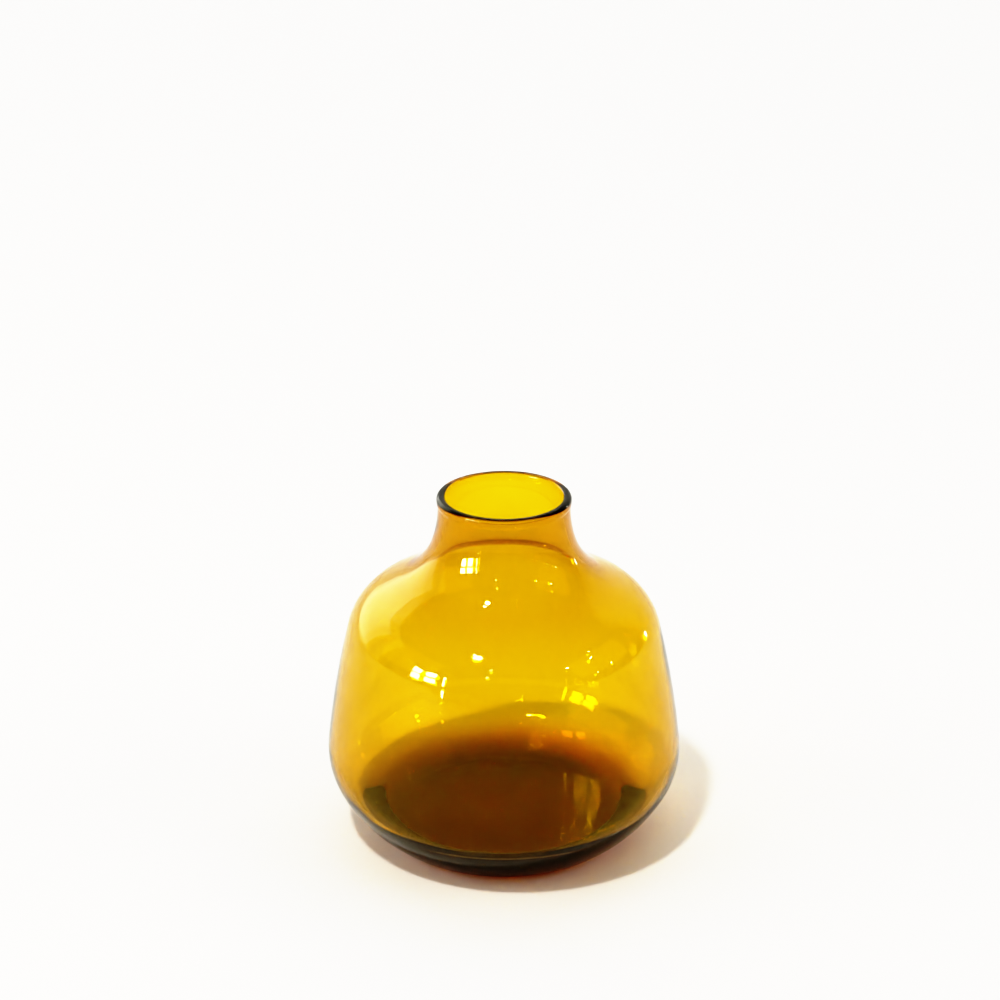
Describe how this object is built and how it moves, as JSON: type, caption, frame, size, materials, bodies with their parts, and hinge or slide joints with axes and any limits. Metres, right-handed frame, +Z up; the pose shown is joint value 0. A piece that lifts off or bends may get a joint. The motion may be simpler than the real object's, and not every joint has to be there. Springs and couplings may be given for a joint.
{
  "type": "glass bud vase",
  "caption": "Squat free-standing bud vase of clear amber glass, with a short open neck, round shoulders, a low belly and a thick base, for a few cut stems in water.",
  "frame": {"origin": "centre of the circle on which the foot stands, level with the table", "axes": "+Z up along the axis of the vase, through the middle of the mouth; +X and +Y level, and alike because the vase is round"},
  "size_m": [0.1068, 0.1068, 0.108],
  "materials": {
    "amber_glass": "clear solid-coloured blown glass, fire-polished all over"
  },
  "bodies": {
    "root": {"lip": "amber_glass", "neck": "amber_glass", "throat": "amber_glass", "collar": "amber_glass", "shoulder": "amber_glass", "side_wall": "amber_glass", "belly": "amber_glass", "heel": "amber_glass", "corner": "amber_glass", "foot": "amber_glass", "base": "amber_glass"}
  },
  "joints": []
}
